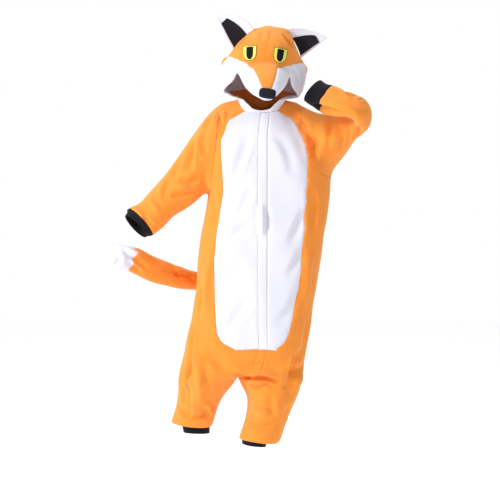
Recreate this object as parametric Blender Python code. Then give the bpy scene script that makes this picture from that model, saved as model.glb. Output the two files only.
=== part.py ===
"""Fox onesie: a hooded fleece costume, hollow, in the pose in which it is worn.

Metres, +Z up. The front faces -Y and the wearer's left side is +X. The origin lies between the shoulders,
where the wearer holds the garment. The garment is first laid out as one sheet of points and faces: rows
run round the body, the sleeves, the hood and the muzzle. Each face belongs to a piece of the cut. A piece
is then a wall of cloth on its faces, with a narrow gap along every seam.
"""

import math
from collections import namedtuple

import bmesh
import bpy
from mathutils import Vector
from mathutils.bvhtree import BVHTree

CLOTH = 0.0024          # thickness of the fleece
RIB = 0.0028            # thickness of the ribbed cuffs
FELT = 0.0012           # thickness of the eyes, pupils and ear insides
SEAM_GAP = 0.0003       # room between two pieces along a seam
PLACKET_WIDTH = 0.031
PLACKET_RAISE = 0.0016  # the placket is two layers thick

HALF = 14               # columns of one half, from centre front to centre back
PLACKET = 1             # column of the placket's outer edge
BELLY = 3               # column of the belly's edge
ARM_FRONT = 5           # column of the armhole's front edge
SIDE = 7                # column of the side seam
ARM_BACK = 9            # column of the armhole's back edge
BUTTONED_TO = 0.2       # the placket ends where the crotch closes further than this
BODY_POWER = 0.75       # below 1 makes a section squarer than an ellipse
HOOD_POWER = 0.9

ORANGE = (0.90, 0.33, 0.045)
WHITE = (0.90, 0.90, 0.93)
BLACK = (0.012, 0.011, 0.014)
YELLOW = (0.93, 0.85, 0.16)

Torso = namedtuple(
    "Torso",
    "name z_front z_back x_mid y_front y_back x_right z_right x_left z_left "
    "belly_right belly_left arm_right arm_left closed",
)
# belly_ and arm_ are the distances of the belly's edge and of the armhole's front edge from the centre
# line. closed goes from 0 for one tube to 1 where the two legs part.
TORSO = [
    Torso("neck", -.036, .045, .012, -.080, .085, -.066, .020, .090, .020, .056, .056, None, None, 0),
    Torso("yoke", -.066, .000, .007, -.100, .100, -.114, .013, .126, .012, .094, .112, None, None, 0),
    Torso("shoulder", -.098, -.05, .003, -.117, .116, -.150, -.002, .158, .000, .117, .136, .140, .148, 0),
    Torso("arm_1", -.134, -.10, .000, -.130, .126, -.186, -.128, .200, -.100, .132, .158, .146, .176, 0),
    Torso("arm_2", -.174, -.15, .000, -.139, .131, -.192, -.172, .216, -.132, .134, .172, .150, .190, 0),
    Torso("arm_3", -.214, -.20, .000, -.145, .133, -.194, -.214, .230, -.164, .131, .178, .158, .202, 0),
    Torso("arm_4", -.252, -.25, .000, -.148, .133, -.192, -.254, .243, -.198, .128, .178, .164, .212, 0),
    Torso("arm_5", -.286, -.29, .000, -.148, .131, -.187, -.288, .254, -.228, .127, .176, .166, .220, 0),
    Torso("armpit", -.318, -.32, .000, -.146, .128, -.178, -.314, .264, -.254, .126, .174, .160, .226, 0),
    Torso("chest", -.375, -.38, .000, -.141, .123, -.186, -.372, .262, -.335, .132, .170, None, None, 0),
    Torso("waist", -.460, -.46, .000, -.137, .119, -.204, -.458, .247, -.435, .146, .166, None, None, 0),
    Torso("hip", -.560, -.56, .000, -.140, .132, -.216, -.560, .233, -.545, .158, .156, None, None, 0),
    Torso("seat", -.660, -.67, .000, -.146, .152, -.226, -.664, .212, -.655, .156, .146, None, None, 0),
    Torso("low", -.760, -.77, .000, -.152, .160, -.240, -.764, .197, -.760, .152, .124, None, None, 0),
    Torso("corner_1", -.822, -.82, .001, -.154, .158, -.252, -.822, .187, -.822, .146, .107, None, None, 0),
    Torso("corner_2", -.857, -.86, .002, -.155, .155, -.260, -.860, .182, -.862, .128, .088, None, None, 0),
    Torso("belly_end", -.878, -.88, .003, -.155, .152, -.266, -.888, .178, -.892, .078, .054, None, None, 0),
    Torso("apron", -.925, -.92, -.012, -.154, .147, -.276, -.930, .171, -.932, None, None, None, None, 0),
    Torso("fork_1", -.958, -.95, -.034, -.151, .141, -.284, -.96, .166, -.96, None, None, None, None, .25),
    Torso("fork_2", -.976, -.97, -.054, -.148, .136, -.288, -.982, .163, -.982, None, None, None, None, .55),
    Torso("fork_3", -.986, -.982, -.068, -.145, .132, -.291, -.996, .160, -.994, None, None, None, None, .82),
    Torso("crotch", -.991, -.990, -.074, -.142, .128, -.292, -1.008, .158, -1.006, None, None, None, None, 1),
]

Leg = namedtuple("Leg", "name x_in x_out z_in z_out y_front y_back")
LEG_RIGHT = [
    Leg("thigh", -.090, -.293, -1.016, -1.034, -.132, .122),
    Leg("knee", -.118, -.295, -1.050, -1.064, -.117, .110),
    Leg("calf", -.140, -.299, -1.092, -1.096, -.101, .096),
    Leg("shin", -.155, -.308, -1.132, -1.127, -.088, .082),
    Leg("hem", -.167, -.319, -1.167, -1.156, -.078, .072),
    Leg("turned", -.173, -.306, -1.169, -1.160, -.066, .062),
    Leg("cuff_top", -.176, -.280, -1.160, -1.154, -.052, .050),
]
LEG_LEFT = [
    Leg("thigh", -.063, .149, -1.016, -1.036, -.146, .110),
    Leg("knee", -.044, .136, -1.054, -1.074, -.148, .086),
    Leg("calf", -.041, .118, -1.100, -1.118, -.147, .060),
    Leg("shin", -.050, .096, -1.148, -1.166, -.146, .034),
    Leg("hem", -.070, .077, -1.200, -1.214, -.146, .012),
    Leg("turned", -.063, .064, -1.202, -1.214, -.136, .002),
    Leg("cuff_top", -.060, .034, -1.192, -1.204, -.122, -.018),
]
ANKLE_RIGHT = [
    Leg("cuff_middle", -.175, -.277, -1.176, -1.172, -.052, .050),
    Leg("cuff_end", -.176, -.273, -1.195, -1.192, -.050, .048),
]
ANKLE_LEFT = [
    Leg("cuff_middle", -.059, .032, -1.204, -1.218, -.122, -.020),
    Leg("cuff_end", -.058, .028, -1.222, -1.234, -.120, -.022),
]

Tube = namedtuple("Tube", "name x y z up_x up_y up_z high deep")
# A section of a sleeve: its centre, the way to its top edge, and its half height and half depth.
SLEEVE_RIGHT = [
    Tube("upper_1", -.200, -.006, -.191, .02, 0, 1, .137, .100),
    Tube("upper_2", -.232, -.012, -.231, -.04, 0, 1, .121, .094),
    Tube("upper_3", -.266, -.019, -.271, -.07, 0, 1, .105, .087),
    Tube("elbow", -.298, -.027, -.306, -.15, 0, 1, .087, .080),
    Tube("fore_1", -.336, -.037, -.346, -.34, 0, 1, .068, .070),
    Tube("fore_2", -.370, -.047, -.386, -.50, 0, 1, .064, .062),
    Tube("fore_3", -.397, -.055, -.412, -.66, 0, 1, .059, .055),
    Tube("end", -.423, -.062, -.427, -.92, 0, 1, .065, .050),
]
WRIST_RIGHT = [
    Tube("cuff_middle", -.431, -.066, -.434, -.94, 0, 1, .057, .044),
    Tube("cuff_end", -.441, -.071, -.443, -.98, 0, 1, .053, .041),
]
SLEEVE_LEFT = [
    Tube("upper_1", .250, -.024, -.132, -.42, -.30, 1, .100, .090),
    Tube("upper_2", .284, -.052, -.116, -.44, -.36, 1, .080, .078),
    Tube("upper_3", .316, -.084, -.101, -.44, -.50, 1, .060, .064),
    Tube("elbow_1", .348, -.110, -.088, -.52, -.45, .78, .038, .052),
    Tube("elbow_2", .368, -.147, -.066, -.94, -.05, .42, .034, .048),
    Tube("elbow_3", .358, -.186, -.042, -.50, .80, -.38, .034, .048),
    Tube("fore_1", .327, -.198, -.026, -.20, .58, -.78, .037, .050),
    Tube("fore_2", .291, -.188, -.018, -.30, .40, -.86, .044, .048),
    Tube("fore_3", .262, -.171, -.009, -.42, .30, -.86, .049, .047),
    Tube("end", .244, -.160, .004, -.38, .26, -.86, .049, .046),
]
WRIST_LEFT = [
    Tube("cuff_middle", .217, -.150, .018, -.56, .24, -.80, .045, .042),
    Tube("cuff_end", .195, -.140, .036, -.60, .22, -.78, .045, .040),
]

Hood = namedtuple("Hood", "name x_mid half z_rim z_side z_back y_front y_mid y_back rim roll")
# rim is the angle of the front edge from the centre front, in degrees. roll is the part of the head's
# roll that the row takes.
HOOD = [
    Hood("collar", .012, .100, .006, .030, .060, -.088, .000, .092, 35, 0.0),
    Hood("throat", .014, .128, .019, .040, .084, -.100, -.004, .098, 57, 0.4),
    Hood("jaw", .015, .148, .033, .054, .106, -.112, -.008, .102, 68, 0.8),
    Hood("cheek_1", .016, .154, .050, .073, .127, -.130, -.014, .105, 50, 1.0),
    Hood("cheek_2", .018, .156, .066, .094, .147, -.146, -.020, .107, 40, 1.0),
    Hood("notch", .020, .154, .092, .117, .166, -.160, -.026, .107, 34, 1.0),
    Hood("muzzle", .022, .149, .106, .137, .184, -.170, -.031, .105, 29, 1.0),
    Hood("brow", .023, .139, .118, .157, .201, -.178, -.036, .100, 24, 1.0),
    Hood("eyes_1", .022, .123, .151, .182, .219, -.181, -.040, .091, 0, 1.0),
    Hood("eyes_2", .025, .109, .181, .206, .236, -.174, -.043, .077, 0, 1.0),
    Hood("forehead", .028, .091, .210, .230, .251, -.158, -.046, .057, 0, 1.0),
    Hood("crown_1", .032, .070, .237, .253, .265, -.132, -.047, .031, 0, 1.0),
    Hood("crown_2", .035, .044, .262, .270, .276, -.100, -.047, .002, 0, 1.0),
]
LINED_ROWS = ("throat", "jaw", "cheek_1", "cheek_2", "notch", "muzzle")
HOOD_TOP = (.036, -.047, .282)
HEAD_ROLL = math.radians(5)
HEAD_CENTRE = (.022, .100)      # x and z of the point about which the head rolls
BROW_LIFT = 0.013               # the brow seam is an arch
LAPEL = (.007, .012, .022)      # height of the collar trim at the columns next to the centre front
MUZZLE_CORNER = 3               # column of the muzzle's corner on the brow row
CHEEK_BACK = 8                  # column of the cheek's back edge

Snout = namedtuple("Snout", "name x y z wide up down lean")
# lean moves the lower edge back by that much.
MUZZLE = [
    Snout("bridge", .024, -.206, .060, .078, .056, .056, .030),
    Snout("middle", .027, -.240, .046, .066, .046, .054, .020),
    Snout("front", .029, -.270, .027, .053, .040, .044, .010),
    Snout("tip", .0297, -.290, .004, .033, .030, .022, .000),
]
MUZZLE_ANGLES = (0, 11, 22, 33, 62, 92, 122, 152, 180)
MUZZLE_TAPER = .22              # how much narrower the muzzle is at its underside
CHIN = (.022, -.120, .030)      # middle of the muzzle's back lower edge
Ear = namedtuple("Ear", "side low high tip cup")
# low and high are the ends of the base on the hood, tip the ear's end, cup the depth of its hollow.
EARS = [
    Ear("right", (-.092, -.092, .192), (-.018, -.100, .268), (-.149, -.084, .314), .012),
    Ear("left", (.148, -.080, .158), (.096, -.070, .262), (.249, -.062, .238), .016),
]
EAR_ACROSS = (0, .05, .20, .36, .52, .68, .85, 1)   # columns from the low to the high edge
EAR_ALONG = (0, .2, .38, .56, .72, .97)           # rows from the base to the tip
EAR_BULGE = (.01, .15)          # how far the low and high edges bow out, as a part of the ear's length
EAR_INSIDE = (1, 5, 4)          # the black inside: first and last column, last row
EAR_LIFT = 0.0025               # clearance of the base from the hood

Eye = namedtuple("Eye", "side x z roll")
EYES = [Eye("right", -.030, .162, 1), Eye("left", .076, .153, 8)]
EYE_SIZE = (.0235, .0265)       # half width and half height
PUPIL_SIZE = (.0110, .0215)

Section = namedtuple("Section", "name x y z high deep")
TAIL_BODY = [
    Section("base", -.030, .1594, -.655, .034, .034),
    Section("root", -.036, .178, -.655, .034, .034),
    Section("turn", -.060, .206, -.655, .035, .033),
    Section("back", -.105, .220, -.654, .035, .033),
    Section("rear", -.160, .206, -.652, .035, .034),
    Section("side", -.215, .170, -.648, .035, .034),
    Section("middle_1", -.270, .130, -.640, .038, .036),
    Section("middle_2", -.322, .090, -.624, .042, .038),
    Section("middle_3", -.372, .055, -.606, .045, .039),
    Section("middle_4", -.420, .028, -.584, .046, .039),
    Section("seam", -.462, .008, -.562, .046, .038),
]
TAIL_TIP = [
    Section("full", -.505, -.006, -.553, .045, .034),
    Section("taper", -.543, -.014, -.541, .030, .022),
    Section("end", -.572, -.018, -.532, .010, .009),
]
TAIL_SIDES = 12
TAIL_ZIGZAG = 0.011             # reach of the orange's points into the white

NOSE_X, NOSE_Z = .0297, .005
NOSE_SIZE = (.0285, .0175)      # half width and half height
NOSE_TILT = math.radians(9)
NOSE_RINGS = ((.90, 0), (1, .004), (.88, .009), (.55, .0125))   # scale and distance from the muzzle
NOSE_SIDES = 16


def clear_scene():
    for old in list(bpy.data.objects):
        bpy.data.objects.remove(old, do_unlink=True)


def power(value, exponent):
    """A signed power, for sections squarer than an ellipse."""
    return math.copysign(abs(value) ** exponent, value)


class Sheet:
    """The garment as one sheet: points, and faces that each name their piece."""

    def __init__(self):
        self.points = []
        self.faces = []
        self.pieces = []
        self.lined = set()      # numbers of the hood's faces that have a lining

    def point(self, x, y, z):
        self.points.append(Vector((x, y, z)))
        return len(self.points) - 1

    def face(self, corners, piece):
        ring = [c for i, c in enumerate(corners) if c != corners[i - 1]]
        self.faces.append(ring)
        self.pieces.append(piece)

    def band(self, upper, lower, piece_of):
        """Faces between two rows of the same length. piece_of gives the piece for a column."""
        for column in range(len(upper) - 1):
            corners = (upper[column], lower[column], lower[column + 1], upper[column + 1])
            self.face(corners, piece_of(column))

    def ring_band(self, upper, lower, piece_of):
        self.band(upper + upper[:1], lower + lower[:1], piece_of)


def torso_angles(row, half_width, belly, arm):
    """Angles of the columns of one half: -90 is the centre front, 0 the side, 90 the centre back."""
    turn = 90 * row.closed
    start = -90 - turn

    def angle_at(distance):
        return -math.degrees(math.acos(min(1, (distance / half_width) ** (1 / BODY_POWER))))

    knots = {0: start, SIDE: 0}
    if row.closed < BUTTONED_TO:
        knots[PLACKET] = start + (90 + angle_at(PLACKET_WIDTH)) * (1 + row.closed)
    if belly:
        knots[BELLY] = angle_at(belly)
        knots[ARM_FRONT] = angle_at(arm) if arm else knots[BELLY] * 0.55
    knots[ARM_BACK] = -knots[ARM_FRONT] if belly else (90 + turn) * (ARM_BACK - SIDE) / (HALF - SIDE)
    knots[HALF] = 90 + turn
    columns = sorted(knots)
    angles = []
    for a, b in zip(columns, columns[1:]):
        angles += [knots[a] + (knots[b] - knots[a]) * i / (b - a) for i in range(b - a)]
    return angles + [knots[HALF]]


def torso_row(sheet, row, side, centre):
    """One row of one half of the torso. centre holds the shared points of the other half, or None."""
    x_side, z_side = (row.x_right, row.z_right) if side == "right" else (row.x_left, row.z_left)
    belly, arm = (row.belly_right, row.arm_right) if side == "right" else (row.belly_left, row.arm_left)
    half_width = abs(x_side - row.x_mid)
    turn = math.sin(math.radians(90 * row.closed)) ** BODY_POWER
    radius = (x_side - row.x_mid) / (1 + turn)
    yoke = row.name in ("neck", "yoke", "shoulder")
    reach, steepness = (SIDE, 2.0) if yoke else (ARM_FRONT, 1.5)
    points = []
    for column, angle in enumerate(torso_angles(row, half_width, belly, arm)):
        if centre and column in (0, HALF):
            points.append(centre[column])
            continue
        a = math.radians(angle)
        x = x_side - radius + radius * power(math.cos(a), BODY_POWER)
        depth = row.y_back if angle > 0 else -row.y_front
        from_middle = min(column, HALF - column)
        rise = min(1, from_middle / reach) ** steepness
        z_middle = row.z_front if column <= SIDE else row.z_back
        y = depth * power(math.sin(a), BODY_POWER)
        points.append(sheet.point(x, y, z_middle + (z_side - z_middle) * rise))
    if row.closed == 1:
        points[HALF] = points[0]
    return points


def torso_piece(row, side):
    """The piece of each column in the band below a row of the torso."""
    on_belly = row.belly_right is not None and row.name != "belly_end"
    buttoned = row.closed < BUTTONED_TO

    def piece_of(column):
        if column >= SIDE:
            return "back_" + side
        if column < PLACKET and side == "left" and buttoned:
            return "placket_white" if on_belly else "placket_orange"
        if column < BELLY and on_belly:
            return "belly_" + side
        return "front_" + side

    return piece_of


def build_torso(sheet):
    """Both halves of the torso. Returns the rows of each half."""
    rows = {"right": [], "left": []}
    for row in TORSO:
        right = torso_row(sheet, row, "right", None)
        left = torso_row(sheet, row, "left", {0: right[0], HALF: right[HALF]})
        rows["right"].append(right)
        rows["left"].append(left)
    first_arm = next(i for i, row in enumerate(TORSO) if row.name == "shoulder")
    armpit = next(i for i, row in enumerate(TORSO) if row.name == "armpit")
    for side, points in rows.items():
        for i in range(len(TORSO) - 1):
            piece_of = torso_piece(TORSO[i], side)
            for column in range(HALF):
                if first_arm <= i < armpit and ARM_FRONT <= column < ARM_BACK:
                    continue
                corners = (points[i][column], points[i + 1][column],
                           points[i + 1][column + 1], points[i][column + 1])
                sheet.face(corners, piece_of(column))
    return rows, first_arm, armpit


def armhole_ring(points, first_arm, armpit):
    """The armhole, from the shoulder down the front, through the armpit and up the back."""
    between = range(first_arm + 1, armpit)
    ring = [points[first_arm][c] for c in range(SIDE, ARM_FRONT - 1, -1)]
    ring += [points[i][ARM_FRONT] for i in between]
    ring += [points[armpit][c] for c in range(ARM_FRONT, ARM_BACK + 1)]
    ring += [points[i][ARM_BACK] for i in reversed(between)]
    ring += [points[first_arm][c] for c in range(ARM_BACK, SIDE, -1)]
    return ring


def drop_unused_points(sheet):
    """Points inside the armholes belong to no face."""
    used = sorted({c for face in sheet.faces for c in face})
    new_number = {old: new for new, old in enumerate(used)}
    sheet.points = [sheet.points[i] for i in used]
    sheet.faces = [[new_number[c] for c in face] for face in sheet.faces]


def leg_ring(sheet, row):
    """A ring round a leg, from the inseam round the front, the outside and the back."""
    centre = (row.x_in + row.x_out) / 2
    radius = (row.x_out - row.x_in) / 2
    middle, depth = (row.y_front + row.y_back) / 2, (row.y_back - row.y_front) / 2
    points = []
    for column in range(HALF):
        a = math.radians(-180 + 360 * column / HALF)
        x = centre + radius * power(math.cos(a), HOOD_POWER)
        z = (row.z_in + row.z_out) / 2 + (row.z_out - row.z_in) / 2 * math.cos(a)
        points.append(sheet.point(x, middle + depth * power(math.sin(a), HOOD_POWER), z))
    return points


def build_leg(sheet, top, rows, cuff_rows, side):
    """A leg below the crotch row, its turned hem and its ankle cuff."""
    upper = top[:HALF]
    for row in rows:
        lower = leg_ring(sheet, row)
        sheet.ring_band(upper, lower, lambda c: ("front_" if c < SIDE else "back_") + side)
        upper = lower
    for row in cuff_rows:
        lower = leg_ring(sheet, row)
        sheet.ring_band(upper, lower, lambda c: "ankle_cuff_" + side)
        upper = lower


def tube_ring(sheet, row, along, count):
    """A ring across a sleeve. along is the sleeve's direction there."""
    up = Vector((row.up_x, row.up_y, row.up_z))
    up.normalize()
    front = along.cross(up).normalized()
    if row.x < 0:
        front = -front
    centre = Vector((row.x, row.y, row.z))
    points = []
    for i in range(count):
        a = 2 * math.pi * i / count
        p = centre + up * (row.high * math.cos(a)) + front * (row.deep * math.sin(a))
        points.append(sheet.point(*p))
    return points


def build_sleeve(sheet, ring, rows, cuff_rows, side):
    """A sleeve from its armhole to the wrist, and its cuff."""
    start = sum((sheet.points[i] for i in ring), Vector()) / len(ring)
    every = rows + cuff_rows
    centres = [start] + [Vector((r.x, r.y, r.z)) for r in every]
    upper = ring
    for number, row in enumerate(every, 1):
        after = centres[min(number + 1, len(centres) - 1)]
        along = (after - centres[number - 1]).normalized()
        lower = tube_ring(sheet, row, along, len(ring))
        piece = ("sleeve_" if number <= len(rows) else "wrist_cuff_") + side
        sheet.ring_band(upper, lower, lambda c: piece)
        upper = lower


def roll_head(x, z, part):
    """Turns a point of the hood by its part of the head's roll."""
    turn = HEAD_ROLL * part
    dx, dz = x - HEAD_CENTRE[0], z - HEAD_CENTRE[1]
    return (HEAD_CENTRE[0] + dx * math.cos(turn) + dz * math.sin(turn),
            HEAD_CENTRE[1] - dx * math.sin(turn) + dz * math.cos(turn))


def hood_row(sheet, row, sign, first, shared):
    """One half of a row of the hood, from column first to the centre back."""
    points = [None] * (HALF + 1)
    rim = -90 + row.rim
    corner = -90 + (row.rim or 90 * MUZZLE_CORNER / HALF * 1.1)
    for column in range(first, HALF + 1):
        if shared and column in shared:
            points[column] = shared[column]
            continue
        if column < MUZZLE_CORNER:
            angle = -90 + (corner + 90) * column / MUZZLE_CORNER
        else:
            angle = corner + (90 - corner) * (column - MUZZLE_CORNER) / (HALF - MUZZLE_CORNER)
        a = math.radians(angle)
        x = row.x_mid + sign * row.half * power(math.cos(a), HOOD_POWER)
        depth = row.y_back - row.y_mid if angle > 0 else row.y_mid - row.y_front
        y = row.y_mid + depth * power(math.sin(a), HOOD_POWER)
        z_end = row.z_back if angle > 0 else row.z_rim
        share = min(1, abs(angle) / (90 if angle > 0 else -rim)) ** 1.5
        z = row.z_side + (z_end - row.z_side) * share
        if row.name == "brow" and column < MUZZLE_CORNER:
            z += BROW_LIFT * (1 - (column / MUZZLE_CORNER) ** 2)
        x, z = roll_head(x, z, row.roll)
        points[column] = sheet.point(x, y, z)
    return points


def hood_piece(row_name, side):
    white = row_name in ("collar", "throat", "jaw", "cheek_1", "cheek_2", "notch", "muzzle")

    def piece_of(column):
        return ("cheek_" if white and column < CHEEK_BACK else "hood_") + side

    return piece_of


def build_hood(sheet, neck):
    """The hood from the neck seam to the crown, and the collar trim. Returns its rows by name."""
    rows = {"right": [], "left": []}
    for row in HOOD:
        first = 0 if row.rim < 25 else MUZZLE_CORNER
        right = hood_row(sheet, row, -1, first, None)
        shared = {c: right[c] for c in (0, HALF) if right[c] is not None}
        rows["right"].append(right)
        rows["left"].append(hood_row(sheet, row, 1, first, shared))
    top = sheet.point(*HOOD_TOP)
    centre_front = sheet.points[neck["right"][0]]
    front_point = sheet.point(centre_front.x, centre_front.y, centre_front.z + LAPEL[0])
    for side, points in rows.items():
        build_collar(sheet, neck[side], points[0], front_point, side)
        for column in range(MUZZLE_CORNER, HALF):
            corners = (points[0][column], neck[side][column],
                       neck[side][column + 1], points[0][column + 1])
            piece = "collar_" if column < ARM_FRONT else "hood_"
            sheet.face(corners, piece + side)
        for i in range(len(HOOD) - 1):
            piece_of = hood_piece(HOOD[i].name, side)
            first = 0 if points[i][0] is not None else MUZZLE_CORNER
            for column in range(first, HALF):
                corners = (points[i + 1][column], points[i][column],
                           points[i][column + 1], points[i + 1][column + 1])
                if HOOD[i].name in LINED_ROWS:
                    sheet.lined.add(len(sheet.faces))
                sheet.face(corners, piece_of(column))
        for column in range(HALF):
            sheet.face((top, points[-1][column], points[-1][column + 1]), "hood_" + side)
    return {row.name: {side: rows[side][i] for side in rows} for i, row in enumerate(HOOD)}


def build_collar(sheet, neck, first_row, front_point, side):
    """The trim of the V neck, between the centre front and the hood's front edge."""
    upper = [front_point]
    for column, height in list(enumerate(LAPEL))[1:]:
        p = sheet.points[neck[column]]
        upper.append(sheet.point(p.x, p.y - height * 0.2, p.z + height))
    upper.append(first_row[MUZZLE_CORNER])
    sheet.band(upper, neck[:MUZZLE_CORNER + 1], lambda c: "collar_" + side)


def muzzle_base(sheet, hood):
    """The muzzle's first ring: the brow, the cheeks down to the notches, and a free lower edge."""
    right = [hood["brow"]["right"][c] for c in range(MUZZLE_CORNER + 1)]
    right += [hood["muzzle"]["right"][MUZZLE_CORNER], hood["notch"]["right"][MUZZLE_CORNER]]
    left = [hood["brow"]["left"][c] for c in range(1, MUZZLE_CORNER + 1)]
    left += [hood["muzzle"]["left"][MUZZLE_CORNER], hood["notch"]["left"][MUZZLE_CORNER]]
    chin = Vector(CHIN)
    lower = []
    for notch in (right[-1], left[-1]):
        end = sheet.points[notch]
        row = []
        for share in (1 / 3, 2 / 3):
            p = end.lerp(chin, share)
            row.append(sheet.point(p.x, p.y, p.z - 0.012 * math.sin(math.pi * share)))
        lower.append(row)
    middle = sheet.point(*chin)
    return right + lower[0] + [middle] + lower[1][::-1] + left[::-1]


def muzzle_ring(sheet, row):
    angles = [-a for a in MUZZLE_ANGLES] + list(MUZZLE_ANGLES[-2:0:-1])
    points = []
    for angle in angles:
        a = math.radians(angle)
        tall = row.up if math.cos(a) > 0 else row.down
        low = max(0, -math.cos(a))
        x = row.x + row.wide * (1 - MUZZLE_TAPER * low) * math.sin(a)
        points.append(sheet.point(x, row.y + row.lean * low, row.z + tall * math.cos(a)))
    return points


def build_muzzle(sheet, hood):
    """The muzzle from the hood to its blunt end."""
    upper = muzzle_base(sheet, hood)
    count = len(upper)
    half = count // 2

    def piece_of(column):
        if column < MUZZLE_CORNER or column >= count - MUZZLE_CORNER:
            return "muzzle_top"
        return "cheek_right" if column < half else "cheek_left"

    for row in MUZZLE:
        lower = muzzle_ring(sheet, row)
        sheet.ring_band(upper, lower, piece_of)
        upper = lower
    tip = MUZZLE[-1]
    centre = sheet.point(tip.x, tip.y, tip.z)
    for column in range(count):
        sheet.face((upper[column], centre, upper[(column + 1) % count]), piece_of(column))


def build_sheet():
    """The whole garment as one sheet."""
    sheet = Sheet()
    rows, first_arm, armpit = build_torso(sheet)
    build_leg(sheet, rows["right"][-1], LEG_RIGHT, ANKLE_RIGHT, "right")
    build_leg(sheet, rows["left"][-1], LEG_LEFT, ANKLE_LEFT, "left")
    for side, table, cuff in (("right", SLEEVE_RIGHT, WRIST_RIGHT), ("left", SLEEVE_LEFT, WRIST_LEFT)):
        ring = armhole_ring(rows[side], first_arm, armpit)
        build_sleeve(sheet, ring, table, cuff, side)
    hood = build_hood(sheet, {side: rows[side][0] for side in rows})
    build_muzzle(sheet, hood)
    drop_unused_points(sheet)
    return sheet


def sheet_mesh(sheet):
    """The sheet as a mesh of triangles facing out. Returns it and the triangles of each piece."""
    bm = bmesh.new()
    number_layer = bm.faces.layers.int.new("number")
    points = [bm.verts.new(p) for p in sheet.points]
    for number, corners in enumerate(sheet.faces):
        bm.faces.new([points[c] for c in corners])[number_layer] = number
    bmesh.ops.recalc_face_normals(bm, faces=bm.faces[:])
    bm.faces.ensure_lookup_table()
    if bm.faces[sheet.pieces.index("belly_right")].normal.y > 0:
        bmesh.ops.reverse_faces(bm, faces=bm.faces[:])
    bmesh.ops.triangulate(bm, faces=bm.faces[:], quad_method="SHORT_EDGE")
    bm.verts.index_update()
    bm.normal_update()
    pieces = {"hood_lining": []}
    for face in bm.faces:
        number = face[number_layer]
        pieces.setdefault(sheet.pieces[number], []).append(face)
        if number in sheet.lined:
            pieces["hood_lining"].append(face)
    return bm, pieces


def seam_shift(vertex, faces, gap):
    """How far a point moves into its piece, so that the piece stays gap away from each seam."""
    inward = []
    for edge in vertex.link_edges:
        own = [f for f in edge.link_faces if f in faces]
        if len(own) != 1 or len(edge.link_faces) < 2:
            continue
        face = own[0]
        along = (edge.verts[1].co - edge.verts[0].co).normalized()
        across = face.normal.cross(along)
        middle = (edge.verts[0].co + edge.verts[1].co) / 2
        if across.dot(face.calc_center_median() - middle) < 0:
            across = -across
        inward.append(across)
    if not inward:
        return Vector()
    if len(inward) == 2:
        spread = max(0.3, 1 + inward[0].dot(inward[1]))
        return (inward[0] + inward[1]) * (gap / spread)
    return sum(inward, Vector()) * (gap / len(inward))


def wall_object(name, ordered, outward, inward, gap, colour):
    """A closed wall of cloth on these faces, from outward above them to inward below them."""
    faces = set(ordered)
    outer, inner, points = {}, {}, []
    for face in ordered:
        for v in face.verts:
            if v in outer:
                continue
            base = v.co + seam_shift(v, faces, gap / 2)
            outer[v], inner[v] = len(points), len(points) + 1
            points += [base + v.normal * outward, base - v.normal * inward]
    polygons = []
    for face in ordered:
        polygons.append([outer[v] for v in face.verts])
        polygons.append([inner[v] for v in reversed(face.verts)])
        for loop in face.loops:
            if sum(f in faces for f in loop.edge.link_faces) == 1:
                polygons += wall_faces(loop.link_loop_next.vert, loop.vert, outer, inner)
    return mesh_object(name, points, polygons, colour)


def wall_faces(a, b, outer, inner):
    """Closes the wall's edge from a to b with two triangles. The diagonal depends only on the points'
    numbers, so that two pieces that meet at a seam split it in the same way."""
    if a.index < b.index:
        return [(outer[a], outer[b], inner[b]), (outer[a], inner[b], inner[a])]
    return [(outer[a], outer[b], inner[a]), (outer[b], inner[b], inner[a])]


def mesh_object(name, points, polygons, colour, roughness=0.95):
    mesh = bpy.data.meshes.new(name)
    mesh.from_pydata([tuple(p) for p in points], [], [tuple(p) for p in polygons])
    mesh.update()
    obj = bpy.data.objects.new(name, mesh)
    bpy.context.scene.collection.objects.link(obj)
    material = bpy.data.materials.new(name)
    material.use_nodes = True
    shader = material.node_tree.nodes["Principled BSDF"]
    shader.inputs["Base Color"].default_value = (*colour, 1)
    shader.inputs["Roughness"].default_value = roughness
    shader.inputs["Metallic"].default_value = 0
    mesh.materials.append(material)
    return obj


def colour_of(piece):
    if piece.startswith(("belly", "cheek", "collar", "placket_white", "hood_lining")):
        return WHITE
    return BLACK if "cuff" in piece else ORANGE


def build_walls(pieces):
    for piece, faces in sorted(pieces.items()):
        thickness = RIB if "cuff" in piece else CLOTH
        outward = PLACKET_RAISE if piece.startswith("placket") else 0
        if piece == "hood_lining":
            outward = -CLOTH - SEAM_GAP
        wall_object(piece, faces, outward, thickness - min(outward, 0), SEAM_GAP, colour_of(piece))


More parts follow.
